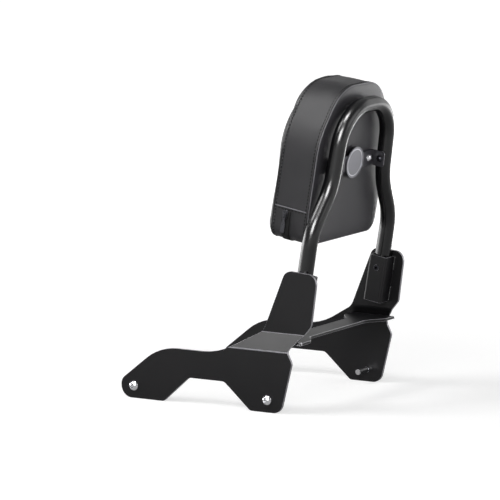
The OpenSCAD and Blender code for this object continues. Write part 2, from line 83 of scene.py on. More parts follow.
# %% Camera
FRAME_PX = 500
FOCAL_PX = 5213.46
CAMERA_PLACE = (-6.181309, -3.753335, 1.359259)
right = Vector((0.522347, -0.852725, -0.003672))
up = Vector((0.136596, 0.079422, 0.987438))
camera_data = bpy.data.cameras.new("camera")
camera_data.sensor_width = 36
camera_data.lens = FOCAL_PX / FRAME_PX * camera_data.sensor_width
camera_data.clip_end = 50
camera = placed("camera", camera_data)
turn = Matrix((right, up, right.cross(up))).transposed().to_4x4()
camera.matrix_world = Matrix.Translation(CAMERA_PLACE) @ turn
bpy.context.scene.camera = camera
print("camera lens:", round(camera_data.lens, 1), "mm")

# %% [markdown]
# ## The part's own sizes
# The hoop leans back from upright, and the pad and strip lean with it. It is easiest to think in the
# leaning frame: x across the bike, off forwards from the hoop's plane, and u up the lean. One function
# turns those, in millimetres, into the row's metres. The numbers are the CAD source's own.

# %% Leaning frame
LEAN = math.radians(9.5)
HOOP_Y = 19.3
FOLD_Z = 110.0
ORIGIN_Y = 122.07
FORWARD = Vector((0, math.cos(LEAN), math.sin(LEAN)))


def leaning(x, off, u):
    """Turns leaning-frame millimetres into metres in the row's frame. Takes numbers or arrays."""
    y = HOOP_Y - ORIGIN_Y + off * math.cos(LEAN) - u * math.sin(LEAN)
    z = FOLD_Z + off * math.sin(LEAN) + u * math.cos(LEAN)
    return np.stack(np.broadcast_arrays(x, y, z), axis=-1) / 1000


print("the hoop's plane meets the fold at:", leaning(0, 0, 0).round(4))

# %% [markdown]
# ## Building materials from nodes
# A material here is a Principled shader plus a few texture nodes. One small function adds a node, sets its
# inputs and links what is given as another node's output. The others name what is done again and again: a
# noise, a range of numbers, a mix of two tones, a bump. All patterns read Object coordinates, which are the
# row's own metres, so a pattern's scale is about one over its size in metres.

# %% Node helpers
def add_node(tree, kind, links=None, **settings):
    """Adds a node, sets its properties, and gives each named input a value or another node's output."""
    node = tree.nodes.new(kind)
    for name, value in settings.items():
        setattr(node, name, value)
    for socket, value in (links or {}).items():
        if isinstance(value, bpy.types.NodeSocket):
            tree.links.new(value, node.inputs[socket])
        else:
            node.inputs[socket].default_value = value
    return node


def new_material(name, base, roughness, metallic=0.0, **inputs):
    """Starts a material with one Principled shader and gives its tree, shader and Object coordinates."""
    material = bpy.data.materials.new(name)
    material.use_nodes = True
    tree = material.node_tree
    shader = tree.nodes["Principled BSDF"]
    shader.inputs["Base Color"].default_value = linear(base)
    shader.inputs["Roughness"].default_value = roughness
    shader.inputs["Metallic"].default_value = metallic
    for socket, value in inputs.items():
        shader.inputs[socket.replace("_", " ")].default_value = value
    where = add_node(tree, "ShaderNodeTexCoord").outputs["Object"]
    return material, tree, shader, where


def noise(tree, where, scale, detail=2.0):
    """A 0 to 1 noise."""
    links = {"Vector": where, "Scale": scale, "Detail": detail}
    return add_node(tree, "ShaderNodeTexNoise", links).outputs["Fac"]


def ramp(tree, value, start, end, first, last):
    """Maps what lies between start and end to the numbers between first and last, clamped at both."""
    links = {"Value": value, "From Min": start, "From Max": end, "To Min": first, "To Max": last}
    return add_node(tree, "ShaderNodeMapRange", links).outputs["Result"]


def mottle(tree, factor, dark, light):
    """Mixes two hex colours by a factor."""
    node = add_node(tree, "ShaderNodeMix", {"Factor": factor}, data_type="RGBA")
    node.inputs["A"].default_value = linear(dark)
    node.inputs["B"].default_value = linear(light)
    return node.outputs["Result"]


def wear(tree, shader, factor, low, high, tones=None):
    """Lets a 0 to 1 factor set the roughness between two values, and the colour between two tones."""
    tree.links.new(ramp(tree, factor, 0, 1, low, high), shader.inputs["Roughness"])
    if tones:
        tree.links.new(mottle(tree, factor, *tones), shader.inputs["Base Color"])


def relief(tree, shader, height, depth_mm, strength=1.0):
    """Bumps a shader's surface by a 0 to 1 height, over a depth in millimetres."""
    links = {"Height": height, "Strength": strength, "Distance": depth_mm / 1000}
    tree.links.new(add_node(tree, "ShaderNodeBump", links).outputs["Normal"], shader.inputs["Normal"])


# %% [markdown]
# ## Gloss black powder coat, on the hoop
# Powder coat is a thermoset plastic, sprayed as dust and melted on. On the hoop it is glossy: dark, with
# crisp long streaks of light along the tube, and a faint orange peel about 2 mm across that makes their
# edges waver.

# %% Hoop finish
hoop_coat, tree, shader, where = new_material(
    "gloss_black_powder_coat", "#0c0c0e", 0.24, Specular_IOR_Level=0.46)
peel = noise(tree, where, 450)
haze = noise(tree, where, 18, 3)
wear(tree, shader, haze, 0.22, 0.28, ("#0b0b0d", "#101012"))
relief(tree, shader, peel, 0.05, 0.35)

# %% [markdown]
# ## Satin black powder coat, on the plates, sleeves and brace
# The folded steel has a duller coat with a fine grain. The rounded edges get a finish of their own: paler,
# smoother and a little metallic. That pale finish is a painted highlight along the edges.

# %% Plate finish
plate_coat, tree, shader, where = new_material(
    "satin_black_powder_coat", "#0c0b0e", 0.42, Specular_IOR_Level=0.28)
grain = noise(tree, where, 1400, 3)
cloud = noise(tree, where, 11, 4)
wear(tree, shader, cloud, 0.34, 0.47, ("#0b0a0d", "#100f12"))
relief(tree, shader, grain, 0.03, 0.5)

# Painted highlight: a pale coat for the plates' bevels, cut faces and fold lines.
edge_highlight_coat, tree, shader, where = new_material("pale_edge_coat_painted_highlight", "#8b8a8f", 0.34, 0.3)
edge_highlight_noise = noise(tree, where, 160, 3)
wear(tree, shader, edge_highlight_noise, 0.24, 0.4, ("#78777c", "#9e9da2"))

# %% [markdown]
# ## The small metal finishes
# The strip has a satin dark grey coat. The screws that show bright are polished stainless steel, the set
# screws and end screws are blackened steel, and the badge is aluminium turned on a lathe, so that its
# scratches run in rings round its middle. The noise on the badge reads only the distance from its centre,
# and one narrow band of that distance is left pale, as the ring near the rim.

# %% Strip, screws and badge finishes
strip_coat, tree, shader, where = new_material("satin_grey_coat_on_steel", "#48474c", 0.36, 0.35)
grain = noise(tree, where, 900, 3)
wear(tree, shader, grain, 0.28, 0.42)
relief(tree, shader, grain, 0.02, 0.4)

bright_steel, tree, shader, where = new_material("polished_stainless_steel", "#d9d9dc", 0.16, 1.0)
scuff = noise(tree, where, 700, 5)
wear(tree, shader, scuff, 0.1, 0.26)
relief(tree, shader, scuff, 0.01, 0.3)

black_steel, tree, shader, where = new_material("blackened_steel", "#26262a", 0.32, 0.8)
wear(tree, shader, noise(tree, where, 600, 4), 0.25, 0.42, ("#202024", "#303036"))

plain_steel, tree, shader, where = new_material("zinc_plated_steel", "#b4b5b2", 0.35, 1.0)
wear(tree, shader, noise(tree, where, 500, 4), 0.28, 0.45)

BADGE_CENTRE = tuple(leaning(0, 7, 228))
BADGE_RING_R_M = 0.0188
BADGE_RING_HALF_WIDTH_M = 0.0007
turned_aluminium, tree, shader, where = new_material("turned_aluminium", "#78787d", 0.33, 0.9)
centred = add_node(tree, "ShaderNodeVectorMath", {0: where, 1: BADGE_CENTRE}, operation="SUBTRACT")
distance = add_node(tree, "ShaderNodeVectorMath", {0: centred.outputs["Vector"]}, operation="LENGTH")
from_centre = distance.outputs["Value"]
along_radius = add_node(tree, "ShaderNodeCombineXYZ", {"X": from_centre}).outputs["Vector"]
lathe = noise(tree, along_radius, 2500)
wear(tree, shader, lathe, 0.24, 0.45)
on_ring = add_node(tree, "ShaderNodeMath", {
    0: from_centre, 1: BADGE_RING_R_M, 2: BADGE_RING_HALF_WIDTH_M}, operation="COMPARE").outputs["Value"]
ringed = add_node(tree, "ShaderNodeMix", {"Factor": on_ring}, data_type="RGBA")
tree.links.new(mottle(tree, lathe, "#6a6a6f", "#86868b"), ringed.inputs["A"])
ringed.inputs["B"].default_value = linear("#c4c4c9")
tree.links.new(ringed.outputs["Result"], shader.inputs["Base Color"])
relief(tree, shader, lathe, 0.02, 0.5)

# %% [markdown]
# ## Leatherette, vinyl, piping, tape, thread and zip
# The cover is leatherette: a knitted cloth under embossed vinyl. Its grain is a net of shallow creases
# about 1.2 mm across, which a Voronoi texture's cell edges draw well, with a finer noise on top. The vinyl
# on the stiff back is the same stuff with less grain, stretched smooth. The piping in the seams stands
# proud, and its vinyl is paler and smoother, a painted highlight along the seams. The zip's tape is a
# tight weave, its coil is moulded nylon, and its slider and pull are lacquered zinc.

# %% Soft finishes
def leather(name, dark, light, cell_mm, depth_mm, rough_low, rough_high):
    """Embossed vinyl: cell creases, a fine noise and slow changes of tone."""
    material, tree, shader, where = new_material(name, dark, rough_low, Specular_IOR_Level=0.31)
    cells = add_node(tree, "ShaderNodeTexVoronoi", {
        "Vector": where, "Scale": 1000 / cell_mm}, feature="DISTANCE_TO_EDGE")
    crease = ramp(tree, cells.outputs["Distance"], 0, 0.16, 0, 1)
    fine = noise(tree, where, 2200, 3)
    height = add_node(tree, "ShaderNodeMath", {0: fine, 1: 0.35, 2: crease}, operation="MULTIPLY_ADD")
    slow = noise(tree, where, 26, 4)
    wear(tree, shader, slow, rough_low, rough_high, (dark, light))
    relief(tree, shader, height.outputs["Value"], depth_mm, 0.5)
    return material


cover_leather = leather("black_leatherette", "#212023", "#2b2a2d", 1.2, 0.12, 0.38, 0.5)
back_vinyl = leather("smooth_black_vinyl", "#2c2b2f", "#353438", 0.8, 0.04, 0.36, 0.46)
# Painted highlight: the piping's pale vinyl stands in for the light line along the seams.
piping_highlight_vinyl = leather("pale_piping_painted_highlight", "#69686d", "#77767b", 0.8, 0.03, 0.26, 0.36)

tape_weave, tree, shader, where = new_material("woven_zip_tape", "#0c0c0d", 0.8, Specular_IOR_Level=0.2)
weave = add_node(tree, "ShaderNodeTexWave", {
    "Vector": where, "Scale": 260, "Distortion": 0.6, "Detail": 1}, bands_direction="Z").outputs["Fac"]
tree.links.new(mottle(tree, weave, "#070708", "#101011"), shader.inputs["Base Color"])
relief(tree, shader, weave, 0.15, 0.6)

sewing_thread, tree, shader, where = new_material(
    "black_sewing_thread", "#08080a", 0.7, Specular_IOR_Level=0.2)
twist = add_node(tree, "ShaderNodeTexWave", {
    "Vector": where, "Scale": 500}, bands_direction="DIAGONAL").outputs["Fac"]
tree.links.new(mottle(tree, twist, "#050506", "#0f0f10"), shader.inputs["Base Color"])

nylon_coil, tree, shader, where = new_material("moulded_nylon", "#77777c", 0.35)
wear(tree, shader, noise(tree, where, 900), 0.28, 0.45)

lacquered_zinc, tree, shader, where = new_material("black_lacquered_zinc", "#434347", 0.28, 0.8)
wear(tree, shader, noise(tree, where, 800, 3), 0.2, 0.38)

# %% [markdown]
# ## Finishing the CAD nodes
# A CAD node whose shape is right stays as it is. Only its material slots are filled, so the solids and the
# picture can't drift apart.

# %% Finishes for nodes that stay
FINISHES = {
    "badge_disc": turned_aluminium,
    "zip_slider": lacquered_zinc,
    "zip_pull": lacquered_zinc,
}
for side in SIDE_NAMES.values():
    FINISHES[side + "_strip_screw"] = black_steel
    FINISHES[side + "_pad_insert"] = plain_steel
    FINISHES[side + "_pad_screw"] = bright_steel
    FINISHES[side + "_set_screw"] = black_steel
    FINISHES[side + "_front_bolt"] = bright_steel
    FINISHES[side + "_rear_bolt"] = bright_steel
for name, material in FINISHES.items():
    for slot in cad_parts[name].material_slots:
        slot.material = material
print("finished CAD nodes:", len(FINISHES))

# %% [markdown]
# ## Rounding the cut edges
# A laser-cut plate is never knife-sharp once it is coated: the coat rounds each edge by a fraction of a
# millimetre, and that thin round is what catches the light. The CAD keeps true sharp edges. So each plate
# gets a copy with its triangles merged back into faces and its sharp edges bevelled, and the copy stands
# for the node. The bevels carry the pale edge finish, a painted highlight, except on the strip, which is
# one tone. On the side plates the cut faces carry this painted highlight too, and so does the middle of
# each outer fold.

# %% Rounded copies of the folded pieces
MERGED_BELOW = math.radians(0.6)
SHARP_ABOVE = math.radians(32)
SHADED_BELOW = math.radians(24)
BEVEL_SEGMENTS = 2
BEVEL_PROFILE = 0.6
CUT_FACE_MAX_X = 0.15
FOLD_MIN_LENGTH_M = 0.05
FOLD_MAX_WIDTH_M = 0.0025
FOLD_MIN_Z = 0.24
FOLD_MAX_Z = 0.52
FOLD_MAX_Y = 0.1


def is_cut_face(face):
    """Whether a face is part of the cut edge of a plate, whose thickness runs across the bike."""
    return abs(face.normal.x) < CUT_FACE_MAX_X


def is_fold_line(face):
    """Whether a face is a long narrow strip in the middle of an outer fold."""
    longest = max(edge.calc_length() for edge in face.edges)
    narrow = longest > FOLD_MIN_LENGTH_M and face.calc_area() / longest < FOLD_MAX_WIDTH_M
    return narrow and FOLD_MIN_Z < face.normal.z < FOLD_MAX_Z and abs(face.normal.y) < FOLD_MAX_Y


def rounded_copy(node, material, edge_material, width_mm, painted_highlights=False):
    """Copies a node's mesh, merges its triangles into flat faces and bevels its sharp edges."""
    bm = bmesh.new()
    bm.from_mesh(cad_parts[node].data)
    bmesh.ops.remove_doubles(bm, verts=bm.verts, dist=1e-6)
    bmesh.ops.dissolve_limit(bm, angle_limit=MERGED_BELOW, verts=bm.verts, edges=bm.edges)
    sharp = [e for e in bm.edges if len(e.link_faces) == 2 and e.calc_face_angle(0) > SHARP_ABOVE]
    bmesh.ops.bevel(
        bm, geom=sharp, offset=width_mm / 1000, segments=BEVEL_SEGMENTS, profile=BEVEL_PROFILE,
        affect="EDGES", clamp_overlap=True, material=1)
    for face in bm.faces:
        face.smooth = True
        # The side plates' cut faces and fold lines take the pale edge coat, a painted highlight.
        if painted_highlights and (is_cut_face(face) or is_fold_line(face)):
            face.material_index = 1
    for edge in bm.edges:
        edge.smooth = edge.calc_face_angle(0) < SHADED_BELOW
    mesh = bpy.data.meshes.new(node + "_rounded")
    bm.to_mesh(mesh)
    bm.free()
    mesh.materials.append(material)
    mesh.materials.append(edge_material)
    piece = placed(node + "_rounded", mesh)
    weighted = piece.modifiers.new("even_shading", "WEIGHTED_NORMAL")
    weighted.keep_sharp = True
    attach(piece, "root")
    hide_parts(node)
    return piece


ROUNDED = [
    ("cross_strip", strip_coat, strip_coat, "satin_grey_steel", 0.3),
    ("cross_brace", plate_coat, edge_highlight_coat, "satin_black_paint", 0.5),
]
for side in SIDE_NAMES.values():
    ROUNDED.append((side + "_side_plate", plate_coat, edge_highlight_coat, "satin_black_paint", 0.9))
    ROUNDED.append((side + "_sleeve", plate_coat, edge_highlight_coat, "satin_black_paint", 0.5))
for node, material, edge_material, slot, width in ROUNDED:
    piece = rounded_copy(node, material, edge_material, width, painted_highlights=node.endswith("side_plate"))
    print(piece.name, "faces:", len(piece.data.polygons))

# %% [markdown]
# ## The bent tube
# The hoop is one tube drawn round a bender: straight runs joined by arcs. Its path is laid out first, in
# the hoop's own plane, from the corners of the straight runs. Each corner is given as x, u and the radius
# of the bend that rounds it.

# %% Path of the tube
TUBE_R = 11.0
TUBE_WALL = 2.0
LEG = [(106.8, 19, 0), (106.8, 143, 73), (70.6, 201, 90), (63, 313, 57)]
HOOP_CORNERS = LEG + [(-x, u, r) for x, u, r in reversed(LEG)]
BEND_STEPS = 40


def arc_points(before, here, after, radius, steps):
    """Points along the fillet of one corner."""
    a = (before - here) / np.linalg.norm(before - here)
    b = (after - here) / np.linalg.norm(after - here)
    half = math.acos(np.clip(a @ b, -1, 1)) / 2
    centre = here + (a + b) / np.linalg.norm(a + b) * radius / math.sin(half)
    start = here + a * radius / math.tan(half) - centre
    end = here + b * radius / math.tan(half) - centre
    first = math.atan2(start[1], start[0])
    sweep = (math.atan2(end[1], end[0]) - first + math.pi) % (2 * math.pi) - math.pi
    turns = first + sweep * np.linspace(0, 1, steps)
    return centre + radius * np.stack([np.cos(turns), np.sin(turns)], axis=1)


def travelled(path):
    """The distance along a polyline to each of its points."""
    return np.concatenate([[0], np.cumsum(np.linalg.norm(np.diff(path, axis=0), axis=1))])


corners = [np.array(c[:2], float) for c in HOOP_CORNERS]
bends = [
    arc_points(corners[i - 1], corners[i], corners[i + 1], HOOP_CORNERS[i][2], BEND_STEPS)
    for i in range(1, len(corners) - 1)
]
hoop_path = np.vstack([corners[:1]] + bends + [corners[-1:]])
run = travelled(hoop_path)
print("tube length along its axis:", round(run[-1], 1), "mm")

# %% [markdown]
# ## Growing a mesh on a line
# A tube is a circle carried along a path, so Geometry Nodes suit it: the tree takes the path as a line of
# points, turns it into a curve and sweeps a circle along it, with the radius, the number of sides and
# whether the ends are closed as named inputs. It ends in Realize Instances and Set Material, and its result
# is kept as a plain mesh, because the export drops instances. The pad's piping and welts are swept by the
# same tree later, and the stitches are set out by another that shares the first of these two functions.

# %% Sweeping along a line
def grown_on_line(name, line, tree, inputs):
    """Runs a tree on a polyline, with its inputs set by socket identifier, and keeps the plain mesh."""
    mesh = bpy.data.meshes.new(name + "_line")
    mesh.from_pydata([tuple(p) for p in line], [(i, i + 1) for i in range(len(line) - 1)], [])
    carrier = placed(name, mesh)
    modifier = carrier.modifiers.new("grow", "NODES")
    modifier.node_group = tree
    for socket, value in inputs:
        modifier[socket.identifier] = value
    result = bpy.data.meshes.new_from_object(carrier.evaluated_get(bpy.context.evaluated_depsgraph_get()))
    carrier.modifiers.clear()
    carrier.data = result
    smooth(result)
    return carrier


def swept_along(name, line, radius_mm, sides, material, capped):
    """Sweeps a circle along a polyline. The faces are turned outwards afterwards."""
    tree = bpy.data.node_groups.new(name + "_tree", "GeometryNodeTree")
    tree.interface.new_socket("Line", in_out="INPUT", socket_type="NodeSocketGeometry")
    radius = tree.interface.new_socket("Tube radius", in_out="INPUT", socket_type="NodeSocketFloat")
    around = tree.interface.new_socket("Sides", in_out="INPUT", socket_type="NodeSocketInt")
    ends = tree.interface.new_socket("Fill ends", in_out="INPUT", socket_type="NodeSocketBool")
    tree.interface.new_socket("Tube", in_out="OUTPUT", socket_type="NodeSocketGeometry")
    given = add_node(tree, "NodeGroupInput")
    path = add_node(tree, "GeometryNodeMeshToCurve", {"Mesh": given.outputs["Line"]})
    ring = add_node(tree, "GeometryNodeCurvePrimitiveCircle", {
        "Resolution": given.outputs["Sides"],
        "Radius": given.outputs["Tube radius"],
    })
    tube = add_node(tree, "GeometryNodeCurveToMesh", {
        "Curve": path.outputs["Curve"],
        "Profile Curve": ring.outputs["Curve"],
        "Fill Caps": given.outputs["Fill ends"],
    })
    real = add_node(tree, "GeometryNodeRealizeInstances", {"Geometry": tube.outputs["Mesh"]})
    coated = add_node(tree, "GeometryNodeSetMaterial", {
        "Geometry": real.outputs["Geometry"],
        "Material": material,
    })
    add_node(tree, "NodeGroupOutput", {"Tube": coated.outputs["Geometry"]})
    inputs = [(radius, radius_mm / 1000), (around, sides), (ends, capped)]
    piece = grown_on_line(name, line, tree, inputs)
    bm = bmesh.new()
    bm.from_mesh(piece.data)
    bmesh.ops.remove_doubles(bm, verts=bm.verts, dist=1e-6)
    bmesh.ops.recalc_face_normals(bm, faces=bm.faces)
    if bm.calc_volume(signed=True) < 0:
        bmesh.ops.reverse_faces(bm, faces=bm.faces)
    bm.to_mesh(piece.data)
    bm.free()
    return piece


# %% [markdown]
# ## Sweeping the hoop
# The tube is swept with open ends, and Solidify then gives it its wall, so that its feet are open as they
# are in the solid. It is far smoother than the solid's triangles, and its streaks of light run unbroken.

# %% The swept hoop
HOOP_STEP_MM = 2.0
HOOP_SIDES = 56
steps = np.arange(0, run[-1] + 1, HOOP_STEP_MM)
spine = np.stack([np.interp(steps, run, hoop_path[:, k]) for k in (0, 1)], axis=1)
hoop_line = [leaning(x, 0, u) for x, u in spine]
hoop = swept_along("hoop_swept", hoop_line, TUBE_R, HOOP_SIDES, hoop_coat, False)
wall = hoop.modifiers.new("wall", "SOLIDIFY")
wall.thickness = TUBE_WALL / 1000
wall.offset = -1
wall.use_even_offset = True
wall.use_rim = True
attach(hoop, "root")
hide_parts("hoop_tube")
print("hoop faces:", len(hoop.data.polygons))

# %% [markdown]
# ## The pad's outline
# Seen along the lean, the pad is a tombstone: straight sides, shoulders that turn in, a rounded top and
# rounded lower corners. The outline is a polygon with a fillet in each corner, given as x, u and radius
# like the hoop's, and walked at an even pace. Every section of the pad is this outline drawn in by some
# distance.

# %% Outline of the pad
PAD_HALF_X = 94.5
PAD_LOW_U = 117.5
PAD_TOP_U = 338.5
PAD_MID_U = (PAD_LOW_U + PAD_TOP_U) / 2
PAD_HALF_U = (PAD_TOP_U - PAD_LOW_U) / 2
PAD_RIGHT = [(PAD_HALF_X, PAD_LOW_U, 17), (PAD_HALF_X, 269, 90), (52.6, PAD_TOP_U, 62)]
PAD_CORNERS = PAD_RIGHT + [(-x, u, r) for x, u, r in reversed(PAD_RIGHT)]
FILLET_STEPS = 24
AROUND = 288


def filleted(corners):
    """Closed polyline through rounded corners, as an array of (x, u)."""
    flat = [np.array(c[:2], float) for c in corners]
    count = len(corners)
    fillets = [
        arc_points(flat[i - 1], flat[i], flat[(i + 1) % count], corners[i][2], FILLET_STEPS)
        for i in range(count)
    ]
    return np.vstack(fillets)


def walked(points, count):
    """Resamples a closed polyline at even steps."""
    closed = np.vstack([points, points[:1]])
    length = travelled(closed)
    steps = np.arange(count) / count * length[-1]
    return np.stack([np.interp(steps, length, closed[:, k]) for k in (0, 1)], axis=1)


def drawn_in(distance):
    """The outline moved inwards by a distance, as a scaled copy about the pad's middle."""
    scale = np.array([1 - distance / PAD_HALF_X, 1 - distance / PAD_HALF_U])
    middle = np.array([0, PAD_MID_U])
    return (outline - middle) * scale + middle


outline = walked(filleted(PAD_CORNERS), AROUND)
upper_half = outline[:, 1] > PAD_MID_U
low_middle = int(np.argmin(np.abs(outline[:, 0]) + upper_half * 1000))
outline = np.roll(outline, -low_middle, axis=0)
print("pad outline:", np.ptp(outline, axis=0).round(1), "mm")

# %% [markdown]
# ## Sewing the cover
# The cover is a gusset between two seams, closed by a crowned front panel. Its mesh is a net of rings, and
# each pair in the list is one ring: how far forwards it lies, and by how much the outline is drawn in. They
# are close together at the seams and at the turn into the front panel, and wider apart between. The pad's
# top slopes down towards the front, and its lower sides tuck in a little.

# %% Rings of the cover before it is swollen
FRONT_SEAM = 70.5
SECTIONS = [(19.7, 4.2), (17.0, 4.2), (16.9, 2.8), (17.0, 1.5), (17.4, 0.65), (18.2, 0.25)]
REAR_RING = len(SECTIONS) - 1
SECTIONS += [(off, 0.2) for off in np.linspace(19.2, FRONT_SEAM - 2.4, 22)]
SECTIONS += [(FRONT_SEAM - back, 0.2) for back in (1.6, 1.0, 0.5)]
FRONT_RING = len(SECTIONS)
SECTIONS += [(FRONT_SEAM, 0.2), (71.0, 0.25), (71.6, 0.5), (72.4, 0.85), (73.3, 1.25), (74.4, 1.85)]
SECTIONS += [(75.8, 2.7), (77.4, 4.0), (79.0, 5.9), (80.6, 8.7), (82.0, 12.2), (83.0, 17.0)]
SECTIONS += [(83.8, 24.0), (84.4, 34.0), (84.8, 46.0), (85.0, 60.0), (85.1, 76.0)]

FRONT_DROP_MM = 4.5
DROP_FROM_U = 235
DROP_RUN_U = 100
DROP_FROM_OFF = 30
DROP_RUN_OFF = 55
TUCK_MM = 2.0
TUCK_FROM_U = 165
TUCK_RUN_U = 45


def section(off, inset):
    """One ring of (x, off, u) points, with the slope of the top and the tuck of the lower sides."""
    flat = drawn_in(inset)
    high = np.clip((flat[:, 1] - DROP_FROM_U) / DROP_RUN_U, 0, 1)
    forward = max(0.0, (off - DROP_FROM_OFF) / DROP_RUN_OFF)
    low = np.clip((TUCK_FROM_U - flat[:, 1]) / TUCK_RUN_U, 0, 1)
    x = flat[:, 0] * (1 - TUCK_MM / PAD_HALF_X * low ** 1.5)
    u = flat[:, 1] - FRONT_DROP_MM * high ** 2 * forward ** 2
    return np.stack([x, np.full(len(flat), off), u], axis=1)


def ring_mesh(name, sections):
    """Mesh through equal rings of leaning-frame points, with a fan at each end."""
    rings = [section(off, inset) for off, inset in sections]
    hubs = [[0, sections[0][0], PAD_MID_U], [0, sections[-1][0], PAD_MID_U]]
    points = np.concatenate(rings + [hubs])
    count = len(rings[0])
    faces = []
    for j in range(len(rings) - 1):
        for i in range(count):
            k = (i + 1) % count
            faces.append((j * count + i, (j + 1) * count + i, (j + 1) * count + k, j * count + k))
    hub, tip, last = len(points) - 2, len(points) - 1, (len(rings) - 1) * count
    faces += [(hub, i, (i + 1) % count) for i in range(count)]
    faces += [(tip, last + (i + 1) % count, last + i) for i in range(count)]
    mesh = bpy.data.meshes.new(name)
    mesh.from_pydata(leaning(points[:, 0], points[:, 1], points[:, 2]).tolist(), [], faces)
    obj = placed(name, mesh)
    bm = bmesh.new()
    bm.from_mesh(mesh)
    bmesh.ops.recalc_face_normals(bm, faces=bm.faces)
    bm.to_mesh(mesh)
    bm.free()
    return obj


cover = ring_mesh("pad_cover", SECTIONS)
print("cover rings:", len(SECTIONS), "points:", len(cover.data.vertices))

# %% [markdown]
# ## Swelling the panels with cloth
# A real pad is foam under cloth that is stretched until its seams hold it, so cloth simulation suits it.
# The seams and the back edge are pinned, and a light pressure swells the panels between them. A cap on how
# far a point moves keeps the result inside the space that the solid holds.

# %% Cloth
PRESSURE = 3.5
CAP_M = 0.005
CLOTH_FRAMES = 20


def mesh_points(mesh):
    """The places of a mesh's points, as an array."""
    flat = np.empty(len(mesh.vertices) * 3)
    mesh.vertices.foreach_get("co", flat)
    return flat.reshape(-1, 3)


def swell(obj, pinned):
    """Runs cloth with pressure on a piece and applies the result, with each move capped."""
    group = obj.vertex_groups.new(name="pinned")
    group.add([int(i) for i in pinned], 1.0, "REPLACE")
    cloth = obj.modifiers.new("cloth", "CLOTH")
    cloth.settings.quality = 6
    cloth.settings.mass = 0.25
    cloth.settings.tension_stiffness = 40
    cloth.settings.compression_stiffness = 40
    cloth.settings.shear_stiffness = 20
    cloth.settings.bending_stiffness = 2
    cloth.settings.use_pressure = True
    cloth.settings.uniform_pressure_force = PRESSURE
    cloth.settings.vertex_group_mass = "pinned"
    cloth.settings.effector_weights.gravity = 0
    cloth.collision_settings.use_self_collision = False
    scene = bpy.context.scene
    for number in range(1, CLOTH_FRAMES + 1):
        scene.frame_set(number)
    after = mesh_points(obj.evaluated_get(bpy.context.evaluated_depsgraph_get()).data)
    before = mesh_points(obj.data)
    move = after - before
    size = np.linalg.norm(move, axis=1, keepdims=True)
    move *= np.where(size > 1e-9, CAP_M * np.tanh(size / CAP_M) / np.maximum(size, 1e-9), 0)
    obj.modifiers.remove(cloth)
    scene.frame_set(1)
    obj.data.vertices.foreach_set("co", (before + move).ravel())
    obj.data.update()
    return size.max() * 1000


rear_hub = len(cover.data.vertices) - 2
held = set(range(0, AROUND * (REAR_RING + 1))) | {rear_hub}
held |= set(range(AROUND * FRONT_RING, AROUND * (FRONT_RING + 1)))
moved = swell(cover, sorted(held))
print("largest move before the cap:", round(float(moved), 2), "mm")

# %% [markdown]
# ## Seams, drawn into the cover
# A seam in leatherette is a fold: the cloth dips into it, and the doubled edge beside it stands up as a low
# ridge. The simulation can't hold a feature this small, so it is added to the points afterwards: each
# point moves along the outline's own direction by a dip and ridge profile, by its distance from the seam.
# One seam runs round the front of the gusset, and one crosses each side of it low down.

# %% Seam profile
FOLD_WIDTH = 0.8
RIDGE_AT = 2.4
RIDGE_WIDTH = 1.4
FRONT_DIP = 1.0
FRONT_RIDGE = 1.0
RINGS_PAST_SEAM = 8
LOWER_SEAM_U = 165.0
LOWER_DIP = 0.8
LOWER_RIDGE = 0.8
LOWER_REACH = 12


def seam_profile(distance, dip, ridge):
    """Height of the cover beside a seam, in mm, at a signed distance from it."""
    fold = -dip * np.exp(-(distance / FOLD_WIDTH) ** 2)
    roll = ridge * np.exp(-((distance - RIDGE_AT) / RIDGE_WIDTH) ** 2)
    return fold + roll


points = mesh_points(cover.data)
x_now = points[:, 0] * 1000
row_y = points[:, 1] * 1000 - (HOOP_Y - ORIGIN_Y)
row_z = points[:, 2] * 1000 - FOLD_Z
off_now = row_y * math.cos(LEAN) + row_z * math.sin(LEAN)
u_now = -row_y * math.sin(LEAN) + row_z * math.cos(LEAN)

on_rings = np.arange(len(points)) < AROUND * len(SECTIONS)
ring_index = np.arange(len(points)) // AROUND
normal = np.roll(outline, -1, axis=0) - np.roll(outline, 1, axis=0)
normal = np.stack([normal[:, 1], -normal[:, 0]], axis=1)
normal /= np.linalg.norm(normal, axis=1, keepdims=True)
outward = normal[np.arange(len(points)) % AROUND]
height = np.zeros(len(points))
near_front = on_rings & (ring_index >= REAR_RING) & (ring_index <= FRONT_RING + RINGS_PAST_SEAM)
height[near_front] += seam_profile(off_now[near_front] - FRONT_SEAM, FRONT_DIP, FRONT_RIDGE)
gusset = on_rings & (ring_index > REAR_RING) & (ring_index < FRONT_RING)
above_lower = u_now[gusset] - LOWER_SEAM_U
lower_profile = seam_profile(above_lower, LOWER_DIP, LOWER_RIDGE)
height[gusset] += np.where(np.abs(above_lower) < LOWER_REACH, lower_profile, 0)
x_now = x_now + outward[:, 0] * height * on_rings
u_now = u_now + outward[:, 1] * height * on_rings
cover.data.vertices.foreach_set("co", leaning(x_now, off_now, u_now).ravel())
cover.data.update()
print("seam relief:", round(float(np.ptp(height)), 2), "mm")

# %% [markdown]
# ## The cover stands for the cushion
# The cover takes the place of the CAD's cushion, which is hidden, and fills most of it.

# %% Finishing the cover
smooth(cover.data)
cover.data.materials.append(cover_leather)
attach(cover, "root")
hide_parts("pad_cushion")
